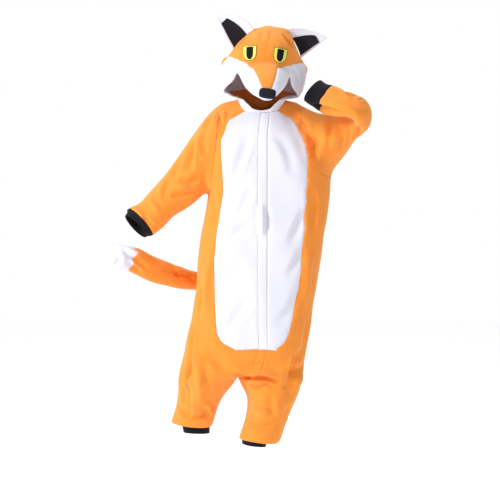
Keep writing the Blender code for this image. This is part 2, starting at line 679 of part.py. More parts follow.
def build_ear(ear, hood_tree):
    """Front and back panel of an ear, one behind the other, and the black inside on the front."""
    low, high, tip = (Vector(p) for p in (ear.low, ear.high, ear.tip))
    length = (tip - (low + high) / 2).length
    outside = (low - high).normalized()
    bm = bmesh.new()
    rows = []
    for t in EAR_ALONG:
        bow = math.sin(math.pi * t) * length
        start = low.lerp(tip, t) + outside * (bow * EAR_BULGE[0])
        end = high.lerp(tip, t) - outside * (bow * EAR_BULGE[1])
        row = []
        for s in EAR_ACROSS:
            p = start.lerp(end, s) + Vector((0, ear.cup * math.sin(math.pi * s) * (1 - t), 0))
            if t == 0:
                near, normal, _, _ = hood_tree.find_nearest(p)
                p = near + normal * EAR_LIFT
            row.append(bm.verts.new(p))
        rows.append(row)
    faces, inside = [], []
    first, last, last_row = EAR_INSIDE
    for r in range(len(rows) - 1):
        for c in range(len(EAR_ACROSS) - 1):
            corners = (rows[r][c], rows[r][c + 1], rows[r + 1][c + 1], rows[r + 1][c])
            halves = [bm.faces.new(corners[:3]), bm.faces.new((corners[0], corners[2], corners[3]))]
            faces += halves
            if first <= c < last and r < last_row:
                inside += halves
    bm.verts.index_update()
    bm.normal_update()
    if faces[0].normal.y > 0:
        bmesh.ops.reverse_faces(bm, faces=faces)
        bm.normal_update()
    skin = SEAM_GAP / 2
    felt = skin + CLOTH + SEAM_GAP
    wall_object("ear_front_" + ear.side, faces, skin + CLOTH, -skin, 0, WHITE)
    wall_object("ear_back_" + ear.side, faces, -skin, skin + CLOTH, 0, ORANGE)
    wall_object("ear_inside_" + ear.side, inside, felt + FELT, -felt, 0, BLACK)
    bm.free()


def eye_outline(eye, size):
    """A shape with a flat top and a round lower half, as points in x and z, clockwise from the front."""
    wide, high = size
    points = [(-wide, high), (-wide * 0.3, high * 1.03), (wide * 0.3, high * 1.03), (wide, high)]
    for degrees in (0, 30, 60, 90, 120, 150, 180):
        a = math.radians(degrees)
        points.append((wide * math.cos(a), -high * 0.05 - high * 0.95 * math.sin(a)))
    turn = math.radians(eye.roll)
    return [Vector((eye.x + x * math.cos(turn) + z * math.sin(turn), 0,
                    eye.z - x * math.sin(turn) + z * math.cos(turn))) for x, z in points]


def laid_on(name, hood_faces, outline, lift, colour):
    """A flat piece on the hood: the hood's own facets inside the outline, moved out in one direction."""
    bm = bmesh.new()
    copies = {}
    for face in hood_faces:
        if face.normal.y > -0.3:
            continue
        for v in face.verts:
            if v not in copies:
                copies[v] = bm.verts.new(v.co)
        bm.faces.new([copies[v] for v in face.verts])
    for a, b in zip(outline, outline[1:] + outline[:1]):
        away = Vector((-(b - a).z, 0, (b - a).x))
        everything = bm.verts[:] + bm.edges[:] + bm.faces[:]
        bmesh.ops.bisect_plane(bm, geom=everything, plane_co=a, plane_no=away, clear_outer=True)
    bmesh.ops.triangulate(bm, faces=bm.faces[:])
    bm.verts.index_update()
    bm.normal_update()
    out = sum((f.normal * f.calc_area() for f in bm.faces), Vector()).normalized()
    points, lower, upper = [], {}, {}
    for v in bm.verts:
        upper[v], lower[v] = len(points), len(points) + 1
        points += [v.co + out * (lift + FELT), v.co + out * lift]
    polygons = []
    for face in bm.faces:
        polygons.append([upper[v] for v in face.verts])
        polygons.append([lower[v] for v in reversed(face.verts)])
        for loop in face.loops:
            if loop.edge.is_boundary:
                polygons += wall_faces(loop.link_loop_next.vert, loop.vert, upper, lower)
    mesh_object(name, points, polygons, colour)
    bm.free()


def build_eyes(pieces):
    for eye in EYES:
        hood_faces = pieces["hood_" + eye.side]
        laid_on("eye_" + eye.side, hood_faces, eye_outline(eye, EYE_SIZE), SEAM_GAP, YELLOW)
        lift = 2 * SEAM_GAP + FELT
        laid_on("pupil_" + eye.side, hood_faces, eye_outline(eye, PUPIL_SIZE), lift, BLACK)


def closed_tube(name, rings, start, end, colour):
    """A solid through rings of the same number of points, closed by a point at either end."""
    count = len(rings[0])
    points = [start, end] + [p for ring in rings for p in ring]

    def at(ring, i):
        return 2 + ring * count + i % count

    last = len(rings) - 1
    polygons = []
    for i in range(count):
        polygons.append((0, at(0, i + 1), at(0, i)))
        polygons.append((1, at(last, i), at(last, i + 1)))
        for ring in range(last):
            polygons.append((at(ring, i), at(ring, i + 1), at(ring + 1, i + 1), at(ring + 1, i)))
    return mesh_object(name, points, polygons, colour)


def build_nose():
    """A padded nose with a flat back, on the muzzle's blunt end."""
    back = MUZZLE[-1].y - SEAM_GAP
    rings = []
    for scale, forward in NOSE_RINGS:
        ring = []
        for i in range(NOSE_SIDES):
            a = 2 * math.pi * i / NOSE_SIDES
            x = NOSE_SIZE[0] * scale * power(math.cos(a), 0.6)
            z = NOSE_SIZE[1] * scale * power(math.sin(a), 0.6)
            ring.append(Vector((NOSE_X + x * math.cos(NOSE_TILT) + z * math.sin(NOSE_TILT), back - forward,
                                NOSE_Z - x * math.sin(NOSE_TILT) + z * math.cos(NOSE_TILT))))
        rings.append(ring)
    front = Vector((NOSE_X, back - NOSE_RINGS[-1][1] - 0.001, NOSE_Z))
    closed_tube("nose", rings, Vector((NOSE_X, back, NOSE_Z)), front, BLACK)


def tail_rings(rows):
    """Rings of the whole tail and the way that it runs at each."""
    centres = [Vector((r.x, r.y, r.z)) for r in rows]
    rings, ways = [], []
    for number, row in enumerate(rows):
        before, after = centres[max(number - 1, 0)], centres[min(number + 1, len(rows) - 1)]
        way = Vector((0, 1, 0)) if number == 0 else (after - before).normalized()
        up = (Vector((0, 0, 1)) - way * way.z).normalized()
        side = way.cross(up)
        ring = []
        for i in range(TAIL_SIDES):
            a = 2 * math.pi * i / TAIL_SIDES
            ring.append(centres[number] + up * (row.high * math.cos(a)) + side * (row.deep * math.sin(a)))
        rings.append(ring)
        ways.append(way)
    return centres, rings, ways


def build_tail():
    """The stuffed tail: the orange body ends in points that reach into the white tip."""
    centres, rings, ways = tail_rings(TAIL_BODY + TAIL_TIP)
    seam = len(TAIL_BODY) - 1
    way = ways[seam]
    reach = [TAIL_ZIGZAG * (1 if i % 2 else -1) for i in range(TAIL_SIDES)]
    gap = way * (SEAM_GAP / 2)
    body_end = [p + way * r - gap for p, r in zip(rings[seam], reach)]
    tip_start = [p + way * r + gap for p, r in zip(rings[seam], reach)]
    closed_tube("tail_body", rings[:seam] + [body_end], centres[0], centres[seam] - gap, ORANGE)
    tip_end = centres[-1] + ways[-1] * 0.004
    closed_tube("tail_tip", [tip_start] + rings[seam + 1:], centres[seam] + gap, tip_end, WHITE)


def main():
    clear_scene()
    sheet = build_sheet()
    bm, pieces = sheet_mesh(sheet)
    build_walls(pieces)
    hood_tree = BVHTree.FromBMesh(bm)
    for ear in EARS:
        build_ear(ear, hood_tree)
    build_eyes(pieces)
    build_nose()
    build_tail()
    bm.free()


main()
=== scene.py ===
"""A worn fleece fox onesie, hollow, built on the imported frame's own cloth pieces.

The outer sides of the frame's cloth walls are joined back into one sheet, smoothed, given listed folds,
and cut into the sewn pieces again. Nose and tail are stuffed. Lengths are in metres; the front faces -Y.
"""
import math
from collections import namedtuple

import bpy
import bmesh
import numpy as np
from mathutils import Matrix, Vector
from mathutils.bvhtree import BVHTree
from mathutils.kdtree import KDTree


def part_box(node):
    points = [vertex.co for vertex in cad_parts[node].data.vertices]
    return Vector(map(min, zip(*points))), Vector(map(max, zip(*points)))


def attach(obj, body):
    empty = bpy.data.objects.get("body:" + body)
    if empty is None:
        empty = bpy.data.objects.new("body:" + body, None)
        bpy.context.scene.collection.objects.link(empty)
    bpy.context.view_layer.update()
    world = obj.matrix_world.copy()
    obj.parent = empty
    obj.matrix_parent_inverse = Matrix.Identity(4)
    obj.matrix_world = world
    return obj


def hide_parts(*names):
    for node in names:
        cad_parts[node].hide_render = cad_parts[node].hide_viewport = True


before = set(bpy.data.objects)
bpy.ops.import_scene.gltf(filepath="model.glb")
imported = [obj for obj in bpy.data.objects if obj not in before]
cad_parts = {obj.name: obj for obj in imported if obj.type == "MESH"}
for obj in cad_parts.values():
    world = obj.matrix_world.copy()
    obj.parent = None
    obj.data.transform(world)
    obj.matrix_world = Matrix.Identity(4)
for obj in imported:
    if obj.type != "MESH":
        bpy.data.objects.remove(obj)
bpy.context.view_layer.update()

CLOTH = 0.0024          # fleece wall of the frame's pieces
RIB = 0.0028            # rib cuff wall
FELT = 0.0012
PLACKET_RAISE = 0.0016  # the placket is folded double and stands above the belly
WALL_TOLERANCE = 0.00003
WELD = 0.00001          # points of one node closer than this are one point
SEAM_REACH = 0.0026     # points of two pieces closer than this are one seam point

SMOOTH_LEVELS = 3
LINING_LEVELS = 2
SHRINK_BACK = 0.8       # share of the smoothing's shrinkage that each of these rounds takes back
SHRINK_ROUNDS = 2

VISUAL_CLOTH = 0.0022   # thickness of the shells made here
EAR_CLOTH = 0.0018
LINING_CLOTH = 0.0015
LINING_GAP = 0.0028     # from the hood's inner side to the lining's outer side
RIBS = 46               # ribs round a cuff

SEAM_PRESS = 0.0014     # how deep a seam draws in
SEAM_WIDTH = 0.005
SOFT_SEAM = 0.4         # share of that depth where both pieces have one colour
PUCKER = 0.0006         # height of the small puckers beside a seam
PUCKER_SPACING = 0.02
PUCKER_REACH = 0.008    # how far from the seam they are highest, and how far they spread
SLACK_SPACING = 0.16
SLACK_HEIGHT = 0.0020
SLACK_WAVES = 9

FOLD_DEPTH = 2.1        # all folds' heights are taken times this, and their widths times the next
FOLD_WIDTH = 0.92
FOLD_ENDS = 0.7         # the lower, the blunter a fold's ends
BANK_PLACE = 1.9        # the low bank beside a fold: its distance, its width and its height, against
BANK_WIDTH = 0.9        # those of the fold
BANK_HEIGHT = 0.35

ORANGE = (0.87, 0.243, 0.024)
ORANGE_LIGHT = (0.92, 0.310, 0.045)
WHITE = (0.72, 0.72, 0.82)
WHITE_LIGHT = (0.78, 0.78, 0.87)
BLACK = (0.009, 0.008, 0.011)
BLACK_LIGHT = (0.018, 0.016, 0.022)
YELLOW = (0.96, 0.93, 0.19)
OLIVE = (0.30, 0.26, 0.02)

# The cut of each piece: flat width and length of its rectangle and its area, before it is worn.
Cut = namedtuple("Cut", "piece width length area material")


def sided(piece, *values):
    return [Cut(piece + "_right", *values), Cut(piece + "_left", *values)]


CUTS = [
    *sided("front", .45, 1.24, .220, "orange"),
    *sided("back", .48, 1.28, .360, "orange"),
    *sided("belly", .19, .87, .115, "white"),
    Cut("placket_white", .035, .86, .030, "white"),
    Cut("placket_orange", .036, .085, .0030, "orange"),
    *sided("sleeve", .48, .52, .190, "orange"),
    Cut("wrist_cuff_right", .25, .045, .0095, "rib"),
    Cut("wrist_cuff_left", .25, .070, .0155, "rib"),
    *sided("ankle_cuff", .29, .040, .0110, "rib"),
    *sided("collar", .06, .10, .0022, "white"),
    *sided("hood", .34, .36, .085, "orange"),
    *sided("cheek", .22, .34, .050, "white"),
    Cut("muzzle_top", .13, .18, .0130, "orange"),
]
FELT_PIECES = ("eye", "pupil", "ear_inside")
RIBBED = ("wrist_cuff_right", "wrist_cuff_left", "ankle_cuff_right", "ankle_cuff_left")

# Folds. A path's points are x and z on the garment as seen from the front or back. height is out of the
# cloth, or into it where it is negative. lean is how much more steeply one side of a fold falls.
Fold = namedtuple("Fold", "side path width height lean")
FRONT, BACK = "front", "back"
FOLDS = [
    # belly: long soft troughs from the placket down and out to the side
    Fold(FRONT, [(-.030, -.130), (-.062, -.220), (-.100, -.330)], .016, -.0040, .6),
    Fold(FRONT, [(-.020, -.300), (-.042, -.360), (-.078, -.430)], .015, -.0034, .5),
    Fold(FRONT, [(-.010, -.420), (-.070, -.475), (-.150, -.545)], .018, -.0042, .6),
    Fold(FRONT, [(-.045, -.570), (-.090, -.620), (-.135, -.690)], .017, -.0032, .5),
    Fold(FRONT, [(-.020, -.700), (-.070, -.760), (-.120, -.830)], .018, -.0030, .4),
    Fold(FRONT, [(.168, -.380), (.142, -.440), (.108, -.510)], .017, -.0036, -.5),
    Fold(FRONT, [(.162, -.520), (.135, -.570), (.100, -.625)], .016, -.0034, -.5),
    Fold(FRONT, [(.140, -.680), (.110, -.740), (.060, -.790)], .018, -.0026, -.4),
    Fold(FRONT, [(.060, -.120), (.100, -.180), (.120, -.270)], .017, -.0030, -.4),
    # placket: it stands away where the wearer pulls it open a little
    Fold(FRONT, [(.012, -.365), (.013, -.420), (.012, -.480)], .011, .0065, 0),
    # crotch: one fold lies over the other, with short creases under it
    Fold(FRONT, [(-.090, -.950), (-.040, -.962), (.010, -.962), (.070, -.972)], .011, .0085, -.8),
    Fold(FRONT, [(-.085, -.970), (-.040, -.982), (.010, -.981), (.068, -.992)], .008, -.0095, 0),
    Fold(FRONT, [(-.035, -1.008), (-.005, -1.016), (.030, -1.008)], .007, -.0045, .3),
    Fold(FRONT, [(.012, -.998), (.032, -1.002), (.052, -1.014)], .007, -.0040, .3),
    Fold(FRONT, [(-.120, -.950), (-.150, -.920), (-.190, -.905)], .020, -.0060, .4),
    Fold(FRONT, [(.085, -.985), (.120, -.960), (.160, -.950)], .018, -.0060, .4),
    # right leg
    Fold(FRONT, [(-.232, -.780), (-.243, -.960), (-.245, -1.130)], .012, -.0075, .5),
    Fold(FRONT, [(-.262, -.950), (-.268, -1.030), (-.266, -1.110)], .011, -.0055, -.4),
    Fold(FRONT, [(-.215, -.900), (-.205, -.990), (-.205, -1.090)], .018, .0060, .4),
    Fold(FRONT, [(-.170, -1.090), (-.195, -1.125), (-.240, -1.135)], .013, -.0060, .4),
    Fold(FRONT, [(-.160, -1.115), (-.175, -1.100), (-.180, -1.070)], .012, .0060, 0),
    Fold(FRONT, [(-.285, -1.080), (-.262, -1.115), (-.235, -1.128)], .012, -.0050, -.4),
    # left leg
    Fold(FRONT, [(.146, -.880), (.125, -.950), (.090, -1.025)], .014, -.0070, -.5),
    Fold(FRONT, [(.165, -.930), (.135, -1.010), (.110, -1.090)], .018, .0060, -.4),
    Fold(FRONT, [(.105, -1.080), (.100, -1.120), (.098, -1.160)], .012, -.0045, .4),
    Fold(FRONT, [(-.035, -1.135), (.010, -1.150), (.062, -1.142)], .011, -.0060, .4),
    Fold(FRONT, [(-.020, -1.090), (.010, -1.100), (.045, -1.095)], .013, .0050, .3),
    Fold(FRONT, [(.050, -1.040), (.045, -1.080), (.055, -1.120)], .014, -.0040, .3),
    # right sleeve, hanging: folds run along it and break at the elbow and at the cuff
    Fold(FRONT, [(-.228, -.130), (-.240, -.190), (-.242, -.250)], .015, -.0065, .5),
    Fold(FRONT, [(-.168, -.035), (-.180, -.065), (-.186, -.100)], .012, -.0050, .5),
    Fold(FRONT, [(-.140, -.025), (-.137, -.050), (-.134, -.085)], .011, -.0045, .4),
    Fold(FRONT, [(-.200, -.090), (-.212, -.140), (-.208, -.200)], .015, .0050, .4),
    Fold(FRONT, [(-.270, -.190), (-.290, -.230), (-.300, -.280)], .015, -.0050, .5),
    Fold(FRONT, [(-.205, -.270), (-.240, -.290), (-.285, -.280)], .014, -.0060, .5),
    Fold(FRONT, [(-.225, -.310), (-.260, -.335), (-.310, -.335)], .014, -.0055, .5),
    Fold(FRONT, [(-.330, -.270), (-.345, -.310), (-.350, -.350)], .013, .0045, .4),
    Fold(FRONT, [(-.430, -.372), (-.410, -.385), (-.385, -.405)], .009, -.0050, .4),
    Fold(FRONT, [(-.412, -.405), (-.398, -.420), (-.375, -.440)], .009, -.0050, .4),
    Fold(FRONT, [(-.390, -.340), (-.375, -.365), (-.350, -.390)], .010, .0045, .4),
    # left sleeve, raised: the fold from the shoulder runs along it and short ones hang from it
    Fold(FRONT, [(.185, -.012), (.232, -.034), (.280, -.050), (.315, -.064)], .011, -.0070, .7),
    Fold(FRONT, [(.190, .004), (.240, -.014), (.290, -.026)], .013, .0040, -.4),
    Fold(FRONT, [(.262, -.075), (.258, -.100), (.254, -.130)], .011, -.0050, .4),
    Fold(FRONT, [(.292, -.085), (.297, -.125), (.290, -.175)], .013, -.0080, .5),
    Fold(FRONT, [(.325, -.095), (.322, -.120), (.312, -.150)], .011, -.0050, .4),
    Fold(FRONT, [(.356, -.092), (.352, -.110), (.342, -.135)], .011, -.0065, .4),
    Fold(FRONT, [(.235, -.060), (.240, -.120), (.225, -.190)], .016, .0050, .4),
    Fold(FRONT, [(.205, -.070), (.200, -.140), (.205, -.210)], .014, -.0055, .4),
    Fold(FRONT, [(.330, -.010), (.350, -.020), (.375, -.018)], .011, .0045, .4),
    Fold(FRONT, [(.300, .030), (.320, .012), (.350, .010)], .010, -.0045, .4),
    # front of the shoulders, armholes and sides
    Fold(FRONT, [(-.100, -.020), (-.120, -.070), (-.128, -.130)], .014, -.0045, .4),
    Fold(FRONT, [(-.160, -.330), (-.150, -.400), (-.165, -.480)], .016, -.0040, .4),
    Fold(FRONT, [(-.170, -.560), (-.185, -.650), (-.180, -.760)], .018, .0045, .4),
    Fold(FRONT, [(-.195, -.620), (-.205, -.700), (-.215, -.780)], .016, -.0045, .4),
    Fold(FRONT, [(.125, -.020), (.160, -.060), (.175, -.120)], .014, -.0040, .4),
    Fold(FRONT, [(.190, -.300), (.200, -.380), (.190, -.470)], .016, -.0040, .4),
    Fold(FRONT, [(.185, -.540), (.178, -.640), (.170, -.740)], .017, .0040, .4),
    Fold(FRONT, [(.178, -.760), (.170, -.830), (.160, -.900)], .016, -.0045, .4),
    # back: seat, waist and legs
    Fold(BACK, [(-.060, -.480), (.010, -.520), (.090, -.500)], .022, -.0060, .5),
    Fold(BACK, [(-.110, -.540), (-.030, -.590), (.050, -.580)], .022, .0060, .5),
    Fold(BACK, [(.020, -.420), (.090, -.440), (.150, -.410)], .020, -.0050, .5),
    Fold(BACK, [(-.130, -.120), (-.100, -.230), (-.110, -.350)], .020, -.0055, .4),
    Fold(BACK, [(.140, -.110), (.120, -.220), (.125, -.330)], .020, -.0055, .4),
    Fold(BACK, [(-.020, -.090), (-.010, -.190), (-.025, -.290)], .020, .0035, .4),
    Fold(BACK, [(-.020, -.760), (-.090, -.830), (-.180, -.850)], .022, -.0070, .5),
    Fold(BACK, [(-.010, -.810), (.060, -.870), (.130, -.880)], .022, -.0070, .5),
    Fold(BACK, [(-.040, -.860), (-.110, -.920), (-.200, -.940)], .018, .0065, .5),
    Fold(BACK, [(-.080, -.990), (-.150, -1.020), (-.230, -1.010)], .018, -.0060, .5),
    Fold(BACK, [(.000, -.980), (.050, -1.020), (.110, -1.010)], .018, -.0060, .5),
    Fold(BACK, [(-.180, -1.080), (-.215, -1.110), (-.265, -1.105)], .014, -.0055, .4),
    Fold(BACK, [(-.010, -1.110), (.030, -1.140), (.075, -1.130)], .014, -.0055, .4),
    Fold(BACK, [(-.190, -.620), (-.180, -.700), (-.200, -.790)], .018, .0050, .4),
    Fold(BACK, [(.150, -.600), (.160, -.700), (.150, -.800)], .018, .0050, .4),
    # back of the sleeves
    Fold(BACK, [(-.210, -.120), (-.240, -.190), (-.250, -.260)], .016, -.0060, .4),
    Fold(BACK, [(-.230, -.270), (-.270, -.300), (-.320, -.290)], .015, -.0060, .4),
    Fold(BACK, [(-.290, -.340), (-.330, -.350), (-.360, -.330)], .013, .0050, .4),
    Fold(BACK, [(.220, -.060), (.250, -.120), (.240, -.190)], .015, -.0060, .4),
    Fold(BACK, [(.260, -.030), (.310, -.060), (.350, -.080)], .014, -.0060, .4),
    # hood: creases run from the ears' roots, over the brow and round behind the head
    Fold(FRONT, [(-.040, .232), (-.058, .205), (-.078, .178)], .009, -.0045, .4),
    Fold(FRONT, [(.088, .238), (.108, .210), (.128, .178)], .009, -.0045, .4),
    Fold(FRONT, [(.010, .262), (.016, .235), (.014, .205)], .010, -.0025, .3),
    Fold(BACK, [(-.060, .090), (.000, .060), (.080, .080)], .016, -.0060, .5),
    Fold(BACK, [(-.070, .140), (.010, .120), (.090, .140)], .018, .0050, .4),
    Fold(BACK, [(-.050, .030), (.020, .010), (.080, .030)], .014, -.0050, .4),
    # cheeks: slack creases from the muzzle to the edge
    Fold(FRONT, [(-.075, .130), (-.055, .105), (-.040, .080)], .010, -.0035, .4),
    Fold(FRONT, [(.120, .120), (.135, .095), (.150, .065)], .010, -.0020, .4),
]

# Where sleeve and side run into each other, and the sheet is rounded off.
ARMPITS = ((.255, -.02, -.250), (-.185, -.01, -.310))
RELAX_REACH = 0.045
RELAX_ROUNDS = 60

# Round bulges: two at the front of the ears' roots, and two where the hood stands off behind the cheeks.
Puff = namedtuple("Puff", "x y z width height")
PUFFS = [
    Puff(-.034, -.060, .262, .030, .009),
    Puff(.098, -.060, .246, .030, .009),
    Puff(-.118, .010, .160, .022, .016),
    Puff(.158, .010, .130, .022, .016),
]


def node_mesh(name):
    """A frame node as one welded mesh."""
    bm = bmesh.new()
    bm.from_mesh(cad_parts[name].data)
    bmesh.ops.remove_doubles(bm, verts=bm.verts[:], dist=WELD)
    bm.normal_update()
    bm.faces.index_update()
    return bm


def sides_of(faces):
    """Groups of faces joined edge to edge. Each group keeps the mesh's order, so that every run is alike."""
    left, groups = set(faces), []
    for first in faces:
        if first not in left:
            continue
        left.remove(first)
        group, todo = [], [first]
        while todo:
            face = todo.pop()
            group.append(face)
            for edge in face.edges:
                for other in edge.link_faces:
                    if other in left:
                        left.remove(other)
                        todo.append(other)
        groups.append(sorted(group, key=lambda f: f.index))
    return groups


def points_and_polygons(faces):
    """These faces as plain points and polygons, their points numbered afresh."""
    points, numbers, polygons = [], {}, []
    for face in faces:
        for v in face.verts:
            if v not in numbers:
                numbers[v] = len(points)
                points.append(v.co.copy())
        polygons.append([numbers[v] for v in face.verts])
    return points, polygons


def outer_side(name):
    """The larger side of a wall of cloth, which is the outer one round the body. The rim between the two
    sides is known by its triangles, which each have an edge as long as the wall is thick."""
    bm = node_mesh(name)
    wall = wall_of(name)
    rim = set()
    for edge in bm.edges:
        if abs(edge.calc_length() - wall) < WALL_TOLERANCE:
            rim.update(edge.link_faces)
    groups = sides_of([f for f in bm.faces if f not in rim])
    side = points_and_polygons(max(groups, key=lambda g: sum(f.calc_area() for f in g)))
    bm.free()
    return side


def wall_of(name):
    if name in RIBBED:
        return RIB
    if name.startswith("placket"):
        return CLOTH + PLACKET_RAISE
    return FELT if name.startswith(FELT_PIECES) else CLOTH


def joined_sheet(sides):
    """One mesh of several pieces' sides, with the seam points shared. A face's material number is its
    piece's place in the list."""
    points, polygons, owners, piece_of_point = [], [], [], []
    for number, (more, faces) in enumerate(sides):
        start = len(points)
        points += more
        piece_of_point += [number] * len(more)
        polygons += [[start + i for i in face] for face in faces]
        owners += [number] * len(faces)
    return merge_seams(points, polygons, owners, piece_of_point)


def seam_groups(points, piece_of_point):
    """Lists of points that are one point of the joined sheet: each with the nearest of every other piece."""
    tree = tree_of_points(points)
    leader = list(range(len(points)))

    def head(i):
        while leader[i] != i:
            i = leader[i]
        return i

    for i, p in enumerate(points):
        nearest = {}
        for _, j, distance in tree.find_range(p, SEAM_REACH):
            piece = piece_of_point[j]
            if piece != piece_of_point[i] and distance < nearest.get(piece, (1, 0))[0]:
                nearest[piece] = (distance, j)
        for _, j in nearest.values():
            leader[head(i)] = head(j)
    groups = {}
    for i in range(len(points)):
        groups.setdefault(head(i), []).append(i)
    return groups.values()


def merge_seams(points, polygons, owners, piece_of_point):
    number_of, merged = {}, []
    for members in seam_groups(points, piece_of_point):
        for i in members:
            number_of[i] = len(merged)
        merged.append(sum((points[i] for i in members), Vector()) / len(members))
    mesh = bpy.data.meshes.new("sheet")
    faces = [[number_of[i] for i in face] for face in polygons]
    kept = [k for k, face in enumerate(faces) if len(set(face)) == len(face)]
    mesh.from_pydata([tuple(p) for p in merged], [], [faces[k] for k in kept])
    mesh.polygons.foreach_set("material_index", [owners[k] for k in kept])
    mesh.update()
    return mesh


def to_quads(mesh, bend=35):
    """Pairs of triangles as four-sided faces where they bend less than this many degrees."""
    bm = bmesh.new()
    bm.from_mesh(mesh)
    bmesh.ops.join_triangles(bm, faces=bm.faces[:], cmp_materials=True,
                             angle_face_threshold=math.radians(bend),
                             angle_shape_threshold=math.radians(60))
    bm.to_mesh(mesh)
    bm.free()


def subdivided(mesh, count, levels):
    """The smoothed mesh. Its material numbers are kept."""
    obj = bpy.data.objects.new("smooth", mesh)
    bpy.context.scene.collection.objects.link(obj)
    for _ in range(count):
        mesh.materials.append(None)
    smooth = obj.modifiers.new("smooth", "SUBSURF")
    smooth.levels = smooth.render_levels = levels
    smooth.boundary_smooth = "PRESERVE_CORNERS"
    fine = bpy.data.meshes.new_from_object(obj.evaluated_get(bpy.context.evaluated_depsgraph_get()))
    bpy.data.objects.remove(obj)
    return fine


def coordinates(mesh):
    co = np.empty(len(mesh.vertices) * 3, np.float32)
    mesh.vertices.foreach_get("co", co)
    return co.reshape(-1, 3).astype(np.float64)


def set_coordinates(mesh, points):
    mesh.vertices.foreach_set("co", np.asarray(points, np.float32).ravel())
    mesh.update()


def smooth_sheet(mesh, count, levels):
    """Smoothed so that it passes through the frame's points and doesn't shrink."""
    wanted = coordinates(mesh)
    cage = wanted.copy()
    for _ in range(SHRINK_ROUNDS):
        fine = subdivided(mesh, count, 1)
        cage += SHRINK_BACK * (wanted - coordinates(fine)[:len(cage)])
        set_coordinates(mesh, cage)
        bpy.data.meshes.remove(fine)
    return subdivided(mesh, count, levels)


def vertex_normals(mesh):
    normals = np.empty(len(mesh.vertices) * 3, np.float32)
    mesh.vertex_normals.foreach_get("vector", normals)
    return normals.reshape(-1, 3).astype(np.float64)


def tree_of_points(points):
    tree = KDTree(len(points))
    for i, p in enumerate(points):
        tree.insert(p, i)
    tree.balance()
    return tree


def tree_of(mesh):
    return BVHTree.FromPolygons([v.co for v in mesh.vertices], [tuple(p.vertices) for p in mesh.polygons])


def on_cloth(tree, side, point):
    """A fold's point put on the cloth, from in front or from behind."""
    way = 1 if side == FRONT else -1
    start = Vector((point[0], -2.0 * way, point[1]))
    hit = tree.ray_cast(start, Vector((0, way, 0)))[0]
    return hit if hit else tree.find_nearest(Vector((point[0], -0.1 * way, point[1])))[0]


def along_path(points, path):
    """Distance to a path, the part of its length before the nearest point, and the sideways offset."""
    path = [np.array(p) for p in path]
    lengths = [np.linalg.norm(b - a) for a, b in zip(path, path[1:])]
    whole = sum(lengths)
    best = np.full(len(points), 1e9)
    part = np.zeros(len(points))
    offset = np.zeros_like(points)
    done = 0.0
    for a, b, length in zip(path, path[1:], lengths):
        way = (b - a) / max(length, 1e-9)
        t = np.clip((points - a) @ way, 0, length)
        away = points - (a + t[:, None] * way)
        distance = np.linalg.norm(away, axis=1)
        nearer = distance < best
        best = np.where(nearer, distance, best)
        part = np.where(nearer, (done + t) / whole, part)
        offset[nearer] = away[nearer]
        done += length
    return best, part, offset


def curved(path, steps=4):
    """A path of few points as a smooth one."""
    ends = [path[0] * 2 - path[1]] + path + [path[-1] * 2 - path[-2]]
    out = []
    for a, b, c, d in zip(ends, ends[1:], ends[2:], ends[3:]):
        for k in range(steps):
            t = k / steps
            out.append(0.5 * (2 * b + (c - a) * t + (2 * a - 5 * b + 4 * c - d) * t * t
                              + (3 * b - a - 3 * c + d) * t ** 3))
    return out + [path[-1]]


def fold_cloth(points, normals, tree, fold):
    """Height of one fold at every point: deep in the middle of its length and nothing at the ends."""
    on = [on_cloth(tree, fold.side, p) for p in fold.path]
    path = curved(on)
    low = np.min([tuple(p) for p in path], axis=0) - fold.width * 4
    high = np.max([tuple(p) for p in path], axis=0) + fold.width * 4
    near = np.nonzero(np.all((points > low) & (points < high), axis=1))[0]
    out = np.zeros(len(points))
    if not len(near):
        return out
    distance, part, offset = along_path(points[near], path)
    run = np.array(path[-1] - path[0])
    across = np.cross(normals[near], run / max(np.linalg.norm(run), 1e-9))
    side = np.sign(np.sum(offset * across, axis=1))
    lean = 0.5 * abs(fold.lean)
    width = FOLD_WIDTH * fold.width * np.where(side * fold.lean > 0, 1 - lean, 1 + lean)
    fade = np.sin(np.pi * np.clip(part, 0, 1)) ** FOLD_ENDS
    core = np.exp(-(distance / width) ** 2)
    bank = np.exp(-((distance - BANK_PLACE * width) / (BANK_WIDTH * width)) ** 2)
    out[near] = FOLD_DEPTH * fold.height * fade * (core - BANK_HEIGHT * bank)
    return out


def seam_points(mesh, marks):
    """The numbers of the points where pieces of two marks meet, and where pieces of one mark meet."""
    owner, sharp, soft = {}, set(), set()
    for polygon in mesh.polygons:
        for key in polygon.edge_keys:
            other = owner.setdefault(key, polygon.material_index)
            if other != polygon.material_index:
                same = marks[other] == marks[polygon.material_index]
                (soft if same else sharp).update(key)
    return sorted(sharp), sorted(soft)


def seam_mark(cut):
    """A piece's colour, or its name on the side where the placket opens, so that its edge there is sharp."""
    return cut.piece if cut.piece == "belly_right" else cut.material


def edge_uses(mesh):
    """How many faces each edge has."""
    uses = {}
    for polygon in mesh.polygons:
        for key in polygon.edge_keys:
            uses[key] = uses.get(key, 0) + 1
    return uses


def rim_points(mesh):
    """The numbers of the points on open edges."""
    return sorted({v for key, times in edge_uses(mesh).items() if times == 1 for v in key})


def distances_to(points, chosen):
    tree = KDTree(len(chosen))
    for i in chosen:
        tree.insert(points[i], i)
    tree.balance()
    return np.array([tree.find(p)[2] for p in points])


def slack(points, seed, scale, height):
    """Shallow uneven bulges that every worn cloth has: a few waves at odd angles."""
    rng = np.random.default_rng(seed)
    out = np.zeros(len(points))
    for _ in range(SLACK_WAVES):
        way = rng.normal(size=3)
        way /= np.linalg.norm(way)
        length = scale * rng.uniform(0.6, 1.6)
        out += np.sin(points @ way * (2 * np.pi / length) + rng.uniform(0, 6.28))
    return out * height / math.sqrt(SLACK_WAVES)


